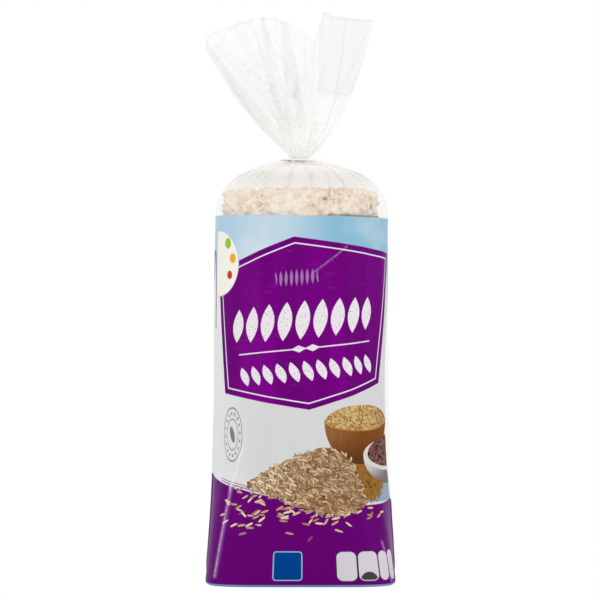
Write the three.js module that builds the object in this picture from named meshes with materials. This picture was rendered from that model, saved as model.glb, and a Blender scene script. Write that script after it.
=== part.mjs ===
// A film bag of puffed rice cakes, closed at the neck with a flat plastic clip.
//
// The bag is one tube of thin clear film round a column of round cakes. It stands
// on its own base, where the film folds flat under the lowest cake and leaves a
// small ear at each side seam. Above the top cake the film is gathered to a narrow
// neck, and past the clip it opens again as a flat fan with two lobes.
//
// Units are millimetres. +Z is up, +X is to the right of the bag's front, -Y is
// the front, and the origin is on the ground at the middle of the base.

import * as THREE from 'three';
import { ParametricGeometry } from 'three/addons/geometries/ParametricGeometry.js';
import { mergeVertices } from 'three/addons/utils/BufferGeometryUtils.js';

// ---------------------------------------------------------------- dimensions

// The cakes inside set the size of the bag round them.
const CAKE_DIAMETER = 95;
const CAKE_THICKNESS = 17.07;
const CAKE_COUNT = 14;
const STACK_HEIGHT = CAKE_COUNT * CAKE_THICKNESS;

// The film lies close to the cakes at the front and back and stands off at the seams.
const SLACK_AT_SEAMS = 6.2;
const SLACK_AT_FACES = 1.6;
const WALL_HALF_WIDTH = CAKE_DIAMETER / 2 + SLACK_AT_SEAMS;
const WALL_HALF_DEPTH = CAKE_DIAMETER / 2 + SLACK_AT_FACES;
const LEFT_TAPER = 1.5;

// The folded base reaches further out at the seams, and its front fold is straighter
// than its back one, so the base is squarer at the front.
const EAR_REACH = 4.3;
const BASE_FLARE_HEIGHT = 70;
const FRONT_SQUARENESS = 5;
const BACK_SQUARENESS = 2.7;
const ROUND_SQUARENESS = 2;
const BASE_EDGE_RADIUS = 1.6;

// The shoulder is a low dome. It starts just below the rim of the top cake at the
// front and back, where the film is tight, and lower down at the seams.
const SHOULDER_START = STACK_HEIGHT - 15.6;
const SHOULDER_START_AT_FACES = STACK_HEIGHT - 7;
const SHOULDER_TOP = STACK_HEIGHT + 17;
const SHOULDER_FULLNESS = 2.2;
const SHOULDER_PLEATS = 13;
const SHOULDER_PLEAT_HEIGHT = 0.9;

// The neck is the gathered film inside the clip.
const NECK_RADIUS = 5.3;
const NECK_HEIGHT = 2.2;
const NECK_TOP = SHOULDER_TOP + NECK_HEIGHT;

// The tail is a fan: its left and right edges and its two-lobed mouth, as [x, z].
const TAIL_LEFT_BEND = [-31, 280];
const TAIL_LEFT_END = [-58.2, 325.4];
const TAIL_RIGHT_BEND = [31.4, 279.2];
const TAIL_RIGHT_END = [44.9, 343.6];
const LEFT_LOBE_CORNER = [-57.7, 334.8];
const LEFT_LOBE_CROWN = [-16, 345.3];
const LEFT_LOBE_RISE = [-38, 344.6];
const LEFT_LOBE_FALL = [-3, 343.6];
const MOUTH_NOTCH = [8.5, 329.9];
const RIGHT_LOBE_CROWN = [14, 347.9];
const TAIL_HALF_DEPTH = 10;
const LOBE_PINCH = 0.45;
const TAIL_PLEAT_DEPTH = 4.5;
const TAIL_PLEATS = [5, 11];

// The clip is a thin flat plate with a lobed hole for the neck and an open throat.
const CLIP_WIDTH = 21.4;
const CLIP_DEPTH = 22;
const CLIP_THICKNESS = 0.8;
const CLIP_CORNER = 3.2;
const CLIP_GAP = 0.5;
const CLIP_HOLE_RADIUS = NECK_RADIUS + CLIP_GAP;
const CLIP_HOLE_FROM_OPEN_EDGE = 9;
const CLIP_THROAT_WIDTH = 4.2;
const CLIP_TILT = THREE.MathUtils.degToRad(1.8);

// How finely the bag's skin is divided, round it and along each stretch of it.
const SLICES = 72;
const ROWS = { base: 4, wall: 11, shoulder: 9, neck: 2, tail: 13, mouth: 2 };

// ----------------------------------------------------------------- materials

const film = new THREE.MeshStandardMaterial({
  name: 'film', color: 0xe6e4df, roughness: 0.25, metalness: 0,
});
const ivoryPlastic = new THREE.MeshStandardMaterial({
  name: 'ivory_plastic', color: 0xece8dc, roughness: 0.4, metalness: 0,
});

// ----------------------------------------------------------------- the bag

const { lerp, smoothstep } = THREE.MathUtils;
const pointXZ = ([x, z]) => new THREE.Vector2(x, z);

// Radius of a rounded rectangle of the given half sizes, in one direction.
// A squareness of 2 is an ellipse, and a higher one has flatter sides.
function sectionRadius(angle, halfWidth, halfDepth, squareness) {
  const across = Math.abs(Math.cos(angle) / halfWidth) ** squareness;
  const along = Math.abs(Math.sin(angle) / halfDepth) ** squareness;
  return (across + along) ** (-1 / squareness);
}

// Radius of the upright wall at one height.
function wallRadius(angle, height) {
  const flare = Math.max(0, 1 - height / BASE_FLARE_HEIGHT) ** 1.5;
  const squarest = Math.sin(angle) < 0 ? FRONT_SQUARENESS : BACK_SQUARENESS;
  const squareness = lerp(ROUND_SQUARENESS, squarest, flare);
  const taper = Math.cos(angle) < 0 ? LEFT_TAPER * (height / SHOULDER_START) ** 2 : 0;
  const halfWidth = WALL_HALF_WIDTH + EAR_REACH * flare - taper;
  return sectionRadius(angle, halfWidth, WALL_HALF_DEPTH, squareness);
}

// The base closes flat along the line that joins the two side seams.
function basePoint(angle, t, target) {
  const seam = wallRadius(0, 0) - BASE_EDGE_RADIUS;
  const edge = wallRadius(angle, 0) - BASE_EDGE_RADIUS;
  target.set(lerp(seam, edge, t) * Math.cos(angle), edge * Math.sin(angle) * t, 0);
}

function shoulderStart(angle) {
  return lerp(SHOULDER_START, SHOULDER_START_AT_FACES, Math.sin(angle) ** 2);
}

function wallPoint(angle, t, target) {
  const height = lerp(BASE_EDGE_RADIUS, shoulderStart(angle), t ** 1.25);
  const radius = wallRadius(angle, height);
  target.set(radius * Math.cos(angle), radius * Math.sin(angle), height);
}

// The dome runs in to the neck, with low pleats that spread out from it.
function shoulderPoint(angle, t, target) {
  const start = shoulderStart(angle);
  const rim = wallRadius(angle, start);
  const power = 2 / SHOULDER_FULLNESS;
  const last = Math.acos((NECK_RADIUS / rim) ** (1 / power));
  const reach = Math.cos(last * t) ** power;
  const rise = Math.sin(last * t) ** power / Math.sin(last) ** power;
  const pleat = SHOULDER_PLEAT_HEIGHT * Math.sin(SHOULDER_PLEATS * angle) * Math.sin(Math.PI * t);
  const radius = rim * reach + pleat * rise;
  const height = lerp(start, SHOULDER_TOP, rise) + pleat * (1 - rise);
  target.set(radius * Math.cos(angle), radius * Math.sin(angle), height);
}

function neckPoint(angle, t, target) {
  const height = lerp(SHOULDER_TOP, NECK_TOP, t);
  target.set(NECK_RADIUS * Math.cos(angle), NECK_RADIUS * Math.sin(angle), height);
}

const tailLeftEdge = new THREE.QuadraticBezierCurve(
  new THREE.Vector2(-NECK_RADIUS, NECK_TOP), pointXZ(TAIL_LEFT_BEND), pointXZ(TAIL_LEFT_END),
);
const tailRightEdge = new THREE.QuadraticBezierCurve(
  new THREE.Vector2(NECK_RADIUS, NECK_TOP), pointXZ(TAIL_RIGHT_BEND), pointXZ(TAIL_RIGHT_END),
);
const mouth = new THREE.Path()
  .moveTo(...TAIL_LEFT_END)
  .lineTo(...LEFT_LOBE_CORNER)
  .quadraticCurveTo(...LEFT_LOBE_RISE, ...LEFT_LOBE_CROWN)
  .quadraticCurveTo(...LEFT_LOBE_FALL, ...MOUTH_NOTCH)
  .lineTo(...RIGHT_LOBE_CROWN)
  .lineTo(...TAIL_RIGHT_END);
const mouthLengths = mouth.getCurveLengths();
const notchShare = mouthLengths[3] / mouth.getLength();

// Where a line of the fan stands: from the neck to the mouth, its share across the
// fan is 0 at the left edge and 1 at the right edge.
function fanPoint(angle, share, t) {
  const start = new THREE.Vector2(NECK_RADIUS * Math.cos(angle), NECK_TOP);
  const point = start.clone().lerp(mouth.getPointAt(share), t);
  for (const [edge, weight] of [[tailLeftEdge, 1 - share], [tailRightEdge, share]]) {
    const straight = edge.getPoint(0).lerp(edge.getPoint(1), t);
    point.addScaledVector(edge.getPoint(t).sub(straight), weight);
  }
  return point;
}

// Half the thickness of the fan at the mouth: each lobe is fullest in its middle.
function lobeHalfDepth(share) {
  const inLeft = share < notchShare;
  const local = inLeft ? share / notchShare : (share - notchShare) / (1 - notchShare);
  const fullness = lerp(LOBE_PINCH, 1, Math.sin(Math.PI * local));
  const closing = Math.sqrt(Math.max(0, 1 - (2 * share - 1) ** 8));
  return TAIL_HALF_DEPTH * fullness * closing;
}

// How far the folds push the middle of the fan to the back, at the mouth.
function foldOffset(share) {
  const [wide, fine] = TAIL_PLEATS;
  const swing = Math.sin(wide * share * Math.PI) + 0.35 * Math.sin(fine * share * Math.PI);
  return TAIL_PLEAT_DEPTH * swing * Math.sin(Math.PI * share);
}

function tailPoint(angle, t, target) {
  const roundShare = (1 + Math.cos(angle)) / 2;
  const evenShare = 1 - Math.acos(Math.cos(angle)) / Math.PI;
  const spread = smoothstep(t, 0, 0.6);
  const share = THREE.MathUtils.clamp(lerp(roundShare, evenShare, spread), 0, 1);
  const point = fanPoint(angle, share, t);
  const side = Math.sign(Math.sin(angle));
  const closed = share <= 0 || share >= 1;
  const halfDepth = lerp(NECK_RADIUS * Math.abs(Math.sin(angle)), lobeHalfDepth(share), spread);
  target.set(point.x, foldOffset(share) * t + (closed ? 0 : side * halfDepth), point.y);
}

// The mouth closes along the middle of the fan's thickness.
function mouthPoint(angle, t, target) {
  tailPoint(angle, 1, target);
  const share = 1 - Math.acos(Math.cos(angle)) / Math.PI;
  target.y = lerp(target.y, foldOffset(share), t);
}

const STRETCHES = [
  { rows: ROWS.base, point: basePoint },
  { rows: ROWS.wall, point: wallPoint },
  { rows: ROWS.shoulder, point: shoulderPoint },
  { rows: ROWS.neck, point: neckPoint },
  { rows: ROWS.tail, point: tailPoint },
  { rows: ROWS.mouth, point: mouthPoint },
];
const ALL_ROWS = STRETCHES.reduce((sum, stretch) => sum + stretch.rows, 0);

// One skin from the seam under the base to the closed mouth, stretch by stretch.
function bagSurface(u, v, target) {
  let row = v * ALL_ROWS;
  for (const { rows, point } of STRETCHES) {
    if (row <= rows) {
      point(2 * Math.PI * u, row / rows, target);
      return;
    }
    row -= rows;
  }
  mouthPoint(2 * Math.PI * u, 1, target);
}

// Shared corners become one vertex, and triangles with no area are left out.
function closedBody(geometry) {
  geometry.deleteAttribute('normal');
  geometry.deleteAttribute('uv');
  const merged = mergeVertices(geometry, 1e-3);
  const kept = [];
  const corners = merged.getIndex().array;
  for (let i = 0; i < corners.length; i += 3) {
    const [a, b, c] = corners.slice(i, i + 3);
    if (a !== b && b !== c && c !== a) kept.push(a, b, c);
  }
  merged.setIndex(kept);
  return merged;
}

function makeBag() {
  const geometry = closedBody(new ParametricGeometry(bagSurface, SLICES, ALL_ROWS));
  const bag = new THREE.Mesh(geometry, film);
  bag.name = 'bag';
  return bag;
}

// ----------------------------------------------------------------- the clip

// Outline seen from above: a plate with clipped corners, and a throat in its right
// side that opens into the round hole. The hole is centred on the neck.
function clipOutline() {
  const right = CLIP_HOLE_FROM_OPEN_EDGE;
  const left = right - CLIP_WIDTH;
  const half = CLIP_DEPTH / 2;
  const throat = CLIP_THROAT_WIDTH / 2;
  const opening = Math.asin(throat / CLIP_HOLE_RADIUS);
  const outline = new THREE.Shape();
  outline.moveTo(right, throat + CLIP_CORNER / 2);
  outline.lineTo(right, half - CLIP_CORNER);
  outline.absarc(right - CLIP_CORNER, half - CLIP_CORNER, CLIP_CORNER, 0, Math.PI / 2, false);
  outline.lineTo(left + CLIP_CORNER, half);
  outline.lineTo(left, half - CLIP_CORNER);
  outline.lineTo(left, CLIP_CORNER - half);
  outline.lineTo(left + CLIP_CORNER, -half);
  outline.absarc(right - CLIP_CORNER, CLIP_CORNER - half, CLIP_CORNER, -Math.PI / 2, 0, false);
  outline.lineTo(right, -throat - CLIP_CORNER / 2);
  outline.lineTo(right - CLIP_CORNER / 2, -throat);
  outline.absarc(0, 0, CLIP_HOLE_RADIUS, -opening, opening, true);
  outline.lineTo(right - CLIP_CORNER / 2, throat);
  outline.closePath();
  return outline;
}

function makeClip() {
  const geometry = new THREE.ExtrudeGeometry(clipOutline(), {
    depth: CLIP_THICKNESS, bevelEnabled: false, curveSegments: 7,
  });
  geometry.translate(0, 0, -CLIP_THICKNESS / 2);
  const clip = new THREE.Mesh(closedBody(geometry), ivoryPlastic);
  clip.name = 'neck_clip';
  clip.position.set(0, 0, SHOULDER_TOP + NECK_HEIGHT / 2);
  clip.rotation.y = CLIP_TILT;
  return clip;
}

// ---------------------------------------------------------------- the model

const riceCakePack = new THREE.Group();
riceCakePack.name = 'rice_cake_pack';
riceCakePack.add(makeBag(), makeClip());

export default riceCakePack;
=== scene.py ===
# %% [markdown]
# # A film bag of puffed rice cakes
# The real thing is one tube of thin film round a column of puffed rice cakes. Most of
# the film is printed, the shoulder and the fanned tail are clear, and a flat plastic
# clip holds the neck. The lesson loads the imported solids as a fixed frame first, then
# swaps the plain solid of the bag for printed film, clear film and real cakes.

# %% Load the frame
import math
import random
from functools import partialmethod

import bpy
import numpy as np
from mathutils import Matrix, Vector, noise


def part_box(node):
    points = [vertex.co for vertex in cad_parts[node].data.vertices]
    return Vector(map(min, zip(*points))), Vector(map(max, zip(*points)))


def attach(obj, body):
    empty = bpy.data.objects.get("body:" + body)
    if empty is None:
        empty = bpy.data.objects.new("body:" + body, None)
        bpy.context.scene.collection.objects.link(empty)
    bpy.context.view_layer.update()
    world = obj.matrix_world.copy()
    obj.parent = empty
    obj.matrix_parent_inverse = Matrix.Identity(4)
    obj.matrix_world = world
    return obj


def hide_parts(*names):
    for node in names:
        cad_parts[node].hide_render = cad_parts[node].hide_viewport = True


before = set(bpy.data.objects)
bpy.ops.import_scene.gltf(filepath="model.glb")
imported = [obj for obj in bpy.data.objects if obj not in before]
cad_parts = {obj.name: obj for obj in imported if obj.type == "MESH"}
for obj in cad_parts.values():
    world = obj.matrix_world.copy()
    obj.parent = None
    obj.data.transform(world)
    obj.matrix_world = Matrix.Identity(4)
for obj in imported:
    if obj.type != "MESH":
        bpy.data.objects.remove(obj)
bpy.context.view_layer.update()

# %% [markdown]
# ## Sizes
# Every size is a named value in millimetres, because that is how a pack is measured.
# Meshes are scaled to metres only when they are made. The cakes set the film's size,
# just as they do on a packing line.

# %% Sizes of the cakes and the film round them
MM = 0.001
CAKE_DIAMETER = 95
CAKE_THICKNESS = 17.07
CAKE_COUNT = 14
STACK_HEIGHT = CAKE_COUNT * CAKE_THICKNESS

WALL_HALF_WIDTH = CAKE_DIAMETER / 2 + 6.2
WALL_HALF_DEPTH = CAKE_DIAMETER / 2 + 1.6
LEFT_TAPER = 1.5
EAR_REACH = 4.3
FLARE_HEIGHT, FLARE_CURVE = 70, 1.5
FRONT_SQUARENESS = 5
BACK_SQUARENESS = 2.7
BASE_EDGE_RADIUS = 1.6

SHOULDER_START = STACK_HEIGHT - 15.6
SHOULDER_START_AT_FACES = STACK_HEIGHT - 7
SHOULDER_TOP = STACK_HEIGHT + 17
SHOULDER_FULLNESS = 2.2
GATHER_RADIUS = 3.9
NECK_TOP = SHOULDER_TOP + 2.2
PRINT_TOP = STACK_HEIGHT - CAKE_THICKNESS
PRINT_TOP_TILT = 0.8

bag_low, bag_high = (np.array(corner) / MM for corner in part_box("bag"))
print(f"the bag is {bag_high[2] - bag_low[2]:.1f} mm tall, its stack {STACK_HEIGHT:.1f} mm")

# %% [markdown]
# ## Camera and light
# The camera stands far away with a long lens, level with the middle of the pack, so
# the sides look almost parallel. The picture's scale at the pack's axis and the
# distance give the focal length.

# %% Camera
IMAGE_PIXELS = 600
PIXELS_PER_MM = 1.628
AXIS_PIXEL = 300.5
GROUND_PIXEL = 579
CAMERA_DISTANCE = 1650
SENSOR_WIDTH = 36

centre_x = (IMAGE_PIXELS / 2 - AXIS_PIXEL) / PIXELS_PER_MM
centre_z = (GROUND_PIXEL - IMAGE_PIXELS / 2) / PIXELS_PER_MM
seen_width = IMAGE_PIXELS / PIXELS_PER_MM

scene = bpy.context.scene
camera_data = bpy.data.cameras.new("camera")
camera_data.sensor_width = SENSOR_WIDTH
camera_data.lens = SENSOR_WIDTH * CAMERA_DISTANCE / seen_width
camera = bpy.data.objects.new("camera", camera_data)
camera.location = Vector((centre_x, -CAMERA_DISTANCE, centre_z)) * MM
camera.rotation_euler = (math.radians(90), 0, 0)
bpy.context.collection.objects.link(camera)
scene.camera = camera
print(f"lens {camera_data.lens:.0f} mm, height {centre_z:.0f} mm")

# %% [markdown]
# Clear film shows up only by what it mirrors, so the light matters as much as the
# material. The room is bright and even, a wide panel behind the camera fills the folds,
# and soft panels at both sides and above give the film its highlights.

# %% Light
# Each panel's place and size in metres, and its power in watts.
PANELS = {
    "panel_front": ((0.0, -1.9, 0.4), (1.2, 1.0), 2.6),
    "panel_left": ((-1.4, -0.5, 0.2), (0.5, 0.9), 2.6),
    "panel_right": ((1.4, -0.5, 0.2), (0.5, 0.9), 3.0),
    "panel_top": ((0.0, -0.35, 1.5), (1.0, 0.6), 1.4),
    "strip_left": ((-0.5, -1.0, 0.35), (0.04, 0.8), 0.35),
    "strip_right": ((0.62, -0.9, 0.35), (0.04, 0.8), 0.3),
}
AIM = Vector((0, 0, 0.17))

for name, (place, size, power) in PANELS.items():
    data = bpy.data.lights.new(name, "AREA")
    data.shape = "RECTANGLE"
    data.size, data.size_y = size
    data.energy = power
    light = bpy.data.objects.new(name, data)
    light.location = place
    light.rotation_euler = (AIM - light.location).to_track_quat("-Z", "Y").to_euler()
    bpy.context.collection.objects.link(light)

scene.view_settings.view_transform = "Standard"
scene.cycles.transparent_max_bounces = 40
scene.cycles.max_bounces = 32
scene.cycles.diffuse_bounces = 24
scene.cycles.glossy_bounces = 8
print(len(PANELS), "panels of light")

# %% [markdown]
# ## A small language for materials
# A printed surface is many soft-edged fields laid over each other. Wiring each sum by
# hand hides the design, so a `Field` stands for a number that varies over a surface,
# and ordinary arithmetic on it adds the nodes.

# %% Trees of nodes, and fields made of them
class Tree:
    """A node tree, with short ways to add a node and to feed a socket."""

    def __init__(self, tree):
        self.tree = tree

    def add(self, kind, properties=None, **inputs):
        node = self.tree.nodes.new(kind)
        for key, value in (properties or {}).items():
            setattr(node, key, value)
        for label, value in inputs.items():
            self.feed(node.inputs[label.replace("_", " ")], value)
        return node

    def feed(self, socket, value):
        value = getattr(value, "socket", value)
        if isinstance(value, bpy.types.NodeSocket):
            self.tree.links.new(value, socket)
        else:
            socket.default_value = value


class Field:
    """A number that varies over a surface: a node socket with arithmetic."""

    def __init__(self, net, socket):
        self.net, self.socket = net, socket

    def apply(self, operation, *others):
        node = self.net.add("ShaderNodeMath", {"operation": operation})
        for socket, value in zip(node.inputs, (self, *others)):
            self.net.feed(socket, value)
        return Field(self.net, node.outputs[0])

    __add__ = __radd__ = partialmethod(apply, "ADD")
    __mul__ = __rmul__ = partialmethod(apply, "MULTIPLY")
    __sub__ = partialmethod(apply, "SUBTRACT")
    __truediv__ = partialmethod(apply, "DIVIDE")
    __pow__ = partialmethod(apply, "POWER")
    abs = partialmethod(apply, "ABSOLUTE")
    sqrt = partialmethod(apply, "SQRT")
    sin = partialmethod(apply, "SINE")
    cos = partialmethod(apply, "COSINE")
    least = partialmethod(apply, "MINIMUM")
    most = partialmethod(apply, "MAXIMUM")

    def __rsub__(self, other):
        return self * -1 + other

    def wrap(self, half):
        """The number, moved by whole turns to between -half and half."""
        return self.apply("WRAP", half, -half)

    def ramp(self, low, high):
        """0 below low and 1 above high, with a smooth step between them."""
        node = self.net.add("ShaderNodeMapRange", {"interpolation_type": "SMOOTHSTEP"},
                            Value=self, From_Min=low, From_Max=high)
        return Field(self.net, node.outputs[0])


class Net(Tree):
    """The node tree of one material, with its Principled node as `surface`."""

    def __init__(self, name, **settings):
        self.material = bpy.data.materials.new(name)
        self.material.use_nodes = True
        super().__init__(self.material.node_tree)
        self.surface = self.tree.nodes["Principled BSDF"]
        self.finish(**settings)

    def finish(self, **settings):
        """Sets sockets of the surface, such as its base colour and roughness."""
        for label, value in settings.items():
            self.feed(self.surface.inputs[label.replace("_", " ")], value)

    def split(self, vector):
        parts = self.add("ShaderNodeSeparateXYZ", Vector=vector).outputs
        return [Field(self, part) for part in parts]

    def join(self, x, y=0.0, z=0.0):
        return self.add("ShaderNodeCombineXYZ", X=x, Y=y, Z=z).outputs[0]

    def mix(self, share, under, over):
        """The colour under, covered by the colour over where share is 1."""
        node = self.add("ShaderNodeMix", {"data_type": "RGBA"})
        for place, value in ((0, share), (6, under), (7, over)):
            self.feed(node.inputs[place], value)
        return node.outputs[2]

    def lay(self, colour, *layers):
        """A colour with layers over it in turn, each a pair of share and colour."""
        for share, over in layers:
            colour = self.mix(share, colour, over)
        return colour

    def shade(self, colour, factor):
        """A colour, or a vector, times a factor."""
        node = self.add("ShaderNodeVectorMath", {"operation": "SCALE"}, Vector=colour, Scale=factor)
        return node.outputs[0]

    def noise(self, place, scale, detail=2.0, roughness=0.5):
        node = self.add("ShaderNodeTexNoise", Vector=place, Scale=scale, Detail=detail, Roughness=roughness)
        return Field(self, node.outputs["Fac"])

    def cells(self, place, scale, properties=None, **inputs):
        """The outputs of a pattern of cells: distance, random colour and middle."""
        return self.add("ShaderNodeTexVoronoi", properties, Vector=place, Scale=scale, **inputs).outputs

    def object_place(self):
        """A point's place on its object, in millimetres."""
        return self.shade(self.add("ShaderNodeTexCoord").outputs["Object"], 1 / MM)

    def film_place(self):
        """A point's place on the film: along it and up it, each from 0 to 1."""
        return self.split(self.add("ShaderNodeUVMap", {"uv_map": "film"}).outputs["UV"])[:2]

    def bump(self, height, distance, strength):
        """Relief whose height field of 1 stands for a distance in millimetres."""
        node = self.add("ShaderNodeBump", Height=height, Strength=strength, Distance=distance * MM)
        self.finish(Normal=node.outputs["Normal"])


def ink(red, green, blue):
    """A print colour, given as it looks on a screen, in the linear form shaders use."""
    return tuple((value / 255) ** 2.2 for value in (red, green, blue)) + (1.0,)


# %% [markdown]
# ## Floor and backdrop
# These are stage, not part of the object. The camera sees both as plain white, while
# the bag itself gets the softer light of a pale floor and a room that is a little grey.

# %% Floor and backdrop
FLOOR_HALF = 1.6
FLOOR_GREY = 0.8
ROOM_GREY = 0.88
BACKDROP_WHITE = 1.0


def show_to_camera(net, real, shown, output):
    """Lights the object with one shader, and shows the camera another."""
    to_camera = net.add("ShaderNodeLightPath").outputs["Is Camera Ray"]
    mixed = net.add("ShaderNodeMixShader")
    for socket, source in zip(mixed.inputs, (to_camera, real.outputs[0], shown.outputs[0])):
        net.feed(socket, source)
    net.feed(output.inputs["Surface"], mixed.outputs[0])


def mesh_object(name, points, faces, smooth=True):
    mesh = bpy.data.meshes.new(name)
    mesh.from_pydata([tuple(point) for point in points], [], faces)
    mesh.update()
    mesh.polygons.foreach_set("use_smooth", [smooth] * len(mesh.polygons))
    obj = bpy.data.objects.new(name, mesh)
    bpy.context.collection.objects.link(obj)
    return obj


scene.world = bpy.data.worlds.new("studio")
scene.world.use_nodes = True
room = Tree(scene.world.node_tree)
grey = room.tree.nodes["Background"]
room.feed(grey.inputs["Color"], (ROOM_GREY,) * 3 + (1,))
white = room.add("ShaderNodeBackground", Color=(BACKDROP_WHITE,) * 3 + (1,))
show_to_camera(room, grey, white, room.tree.nodes["World Output"])

floor_net = Net("pale_floor", Base_Color=(FLOOR_GREY,) * 3 + (1,), Roughness=0.8)
show_to_camera(floor_net, floor_net.surface, floor_net.add("ShaderNodeEmission"),
               floor_net.tree.nodes["Material Output"])
floor_corners = [(x * FLOOR_HALF, y * FLOOR_HALF, 0) for x, y in ((-1, -1), (1, -1), (1, 1), (-1, 1))]
floor = mesh_object("floor", floor_corners, [(0, 1, 2, 3)], smooth=False)
floor.data.materials.append(floor_net.material)

# %% [markdown]
# ## The film's form
# Both kinds of film follow one surface: an upright wall that squares off at the base,
# a low dome over the top cake, a gathered neck, and a fan with a two-lobed mouth. It
# is written as functions of the direction round the bag and the distance along it,
# so the printed and the clear film meet exactly.

# %% The wall
def blend(low, high, share):
    return low + (high - low) * share


def smooth_step(value, low, high):
    t = np.clip((value - low) / (high - low), 0, 1)
    return t * t * (3 - 2 * t)


def wall_radius(angle, height):
    """Radius of the film's wall: a rounded rectangle at the base, an ellipse above."""
    flare = np.maximum(0, 1 - height / FLARE_HEIGHT) ** FLARE_CURVE
    squarest = np.where(np.sin(angle) < 0, FRONT_SQUARENESS, BACK_SQUARENESS)
    squareness = blend(2.0, squarest, flare)
    taper = np.where(np.cos(angle) < 0, LEFT_TAPER * (height / SHOULDER_START) ** 2, 0)
    half_width = WALL_HALF_WIDTH + EAR_REACH * flare - taper
    across = np.abs(np.cos(angle) / half_width) ** squareness
    along = np.abs(np.sin(angle) / WALL_HALF_DEPTH) ** squareness
    return (across + along) ** (-1 / squareness)


def round_point(radius, angle, height):
    height = np.broadcast_to(height, np.shape(angle))
    return np.stack([radius * np.cos(angle), radius * np.sin(angle), height], axis=-1)


def wall_point(angle, height):
    return round_point(wall_radius(angle, height), angle, height)


# %% The shoulder and the neck
def shoulder_start(angle):
    return blend(SHOULDER_START, SHOULDER_START_AT_FACES, np.sin(angle) ** 2)


def shoulder_point(angle, t):
    start = shoulder_start(angle)
    rim = wall_radius(angle, start)
    power = 2 / SHOULDER_FULLNESS
    last = np.arccos((GATHER_RADIUS / rim) ** (1 / power))
    reach = np.cos(last * t) ** power
    rise = np.sin(last * t) ** power / np.sin(last) ** power
    return round_point(rim * reach, angle, blend(start, SHOULDER_TOP, rise))


def neck_point(angle, t):
    return round_point(GATHER_RADIUS, angle, blend(SHOULDER_TOP, NECK_TOP, t))


# %% The fan of the tail
TAIL_LEFT_BEND = (-31, 280)
TAIL_LEFT_END = (-58.2, 325.4)
TAIL_RIGHT_BEND = (31.4, 279.2)
TAIL_RIGHT_END = (44.9, 343.6)
LEFT_LOBE_CORNER = (-57.7, 334.8)
LEFT_LOBE_RISE = (-38, 344.6)
LEFT_LOBE_CROWN = (-16, 345.3)
LEFT_LOBE_FALL = (-3, 343.6)
MOUTH_NOTCH = (8.5, 329.9)
RIGHT_LOBE_CROWN = (14, 347.9)
TAIL_HALF_DEPTH = 10
LOBE_PINCH = 0.45
TAIL_WAVE_DEPTH = 4.5
TAIL_WAVES, FINE_WAVE = (5, 11), 0.35
TAIL_SPREAD = (0, 0.6)


def bezier(start, bend, end, t):
    start, bend, end = (np.array(point, float) for point in (start, bend, end))
    t = np.asarray(t, float)[..., None]
    return start * (1 - t) ** 2 + bend * 2 * t * (1 - t) + end * t ** 2


def path_length(points):
    return float(np.hypot(*np.diff(np.array(points, float), axis=0).T).sum())


def polyline(points):
    """A path as a function of its share of the length, from 0 to 1."""
    points = np.array(points, float)
    steps = np.hypot(*np.diff(points, axis=0).T)
    travelled = np.concatenate([[0], np.cumsum(steps)]) / steps.sum()
    return lambda share: np.stack(
        [np.interp(share, travelled, column) for column in points.T], axis=-1)


bend_steps = np.linspace(0, 1, 24)
left_lobe = [TAIL_LEFT_END, *bezier(LEFT_LOBE_CORNER, LEFT_LOBE_RISE, LEFT_LOBE_CROWN, bend_steps),
             *bezier(LEFT_LOBE_CROWN, LEFT_LOBE_FALL, MOUTH_NOTCH, bend_steps)[1:]]
right_lobe = [MOUTH_NOTCH, RIGHT_LOBE_CROWN, TAIL_RIGHT_END]
mouth_path = polyline(left_lobe + right_lobe[1:])
MOUTH_LENGTH = path_length(left_lobe) + path_length(right_lobe)
NOTCH_SHARE = path_length(left_lobe) / MOUTH_LENGTH
print(f"mouth {MOUTH_LENGTH:.0f} mm along one side, notch at {NOTCH_SHARE:.2f} of it")


def fan_place(angle, share, t):
    """Where a line of the fan stands in x and z: it runs from the neck to the mouth."""
    t = np.broadcast_to(t, np.shape(angle))
    start = np.stack([GATHER_RADIUS * np.cos(angle), np.full_like(angle, NECK_TOP)], axis=-1)
    place = blend(start, mouth_path(share), t[..., None])
    edges = ((-GATHER_RADIUS, TAIL_LEFT_BEND, TAIL_LEFT_END, 1 - share),
             (GATHER_RADIUS, TAIL_RIGHT_BEND, TAIL_RIGHT_END, share))
    for foot, bend, end, weight in edges:
        foot = (foot, NECK_TOP)
        straight = blend(np.array(foot, float), np.array(end, float), t[..., None])
        place = place + (bezier(foot, bend, end, t) - straight) * weight[..., None]
    return place


def lobe_half_depth(share):
    local = np.where(share < NOTCH_SHARE, share / NOTCH_SHARE,
                     (share - NOTCH_SHARE) / (1 - NOTCH_SHARE))
    fullness = blend(LOBE_PINCH, 1, np.sin(np.pi * local))
    return TAIL_HALF_DEPTH * fullness * np.sqrt(np.maximum(0, 1 - (2 * share - 1) ** 8))


def tail_wave(share):
    wide, fine = TAIL_WAVES
    swing = np.sin(wide * share * np.pi) + FINE_WAVE * np.sin(fine * share * np.pi)
    return TAIL_WAVE_DEPTH * swing * np.sin(np.pi * share)


def tail_point(angle, t):
    round_share = (1 + np.cos(angle)) / 2
    even_share = 1 - np.arccos(np.clip(np.cos(angle), -1, 1)) / np.pi
    spread = smooth_step(t, *TAIL_SPREAD)
    share = np.clip(blend(round_share, even_share, spread), 0, 1)
    place = fan_place(angle, share, t)
    side = np.sign(np.sin(angle))
    half_depth = blend(GATHER_RADIUS * np.abs(np.sin(angle)), lobe_half_depth(share), spread)
    depth = tail_wave(share) * t + side * half_depth
    return np.stack([place[..., 0], depth, place[..., 1]], axis=-1)


# %% [markdown]
# ## Rings of film
# Real film has the same length everywhere, so places on it are counted along it. A
# ring is the film's outline at one level. It starts at the middle of the back, runs
# left to the front, and on to the right, and each half is spaced evenly by length.

# %% Evenly spaced rings
RING_ANGLES = np.linspace(-1.5 * np.pi, 0.5 * np.pi, 1441)


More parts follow.
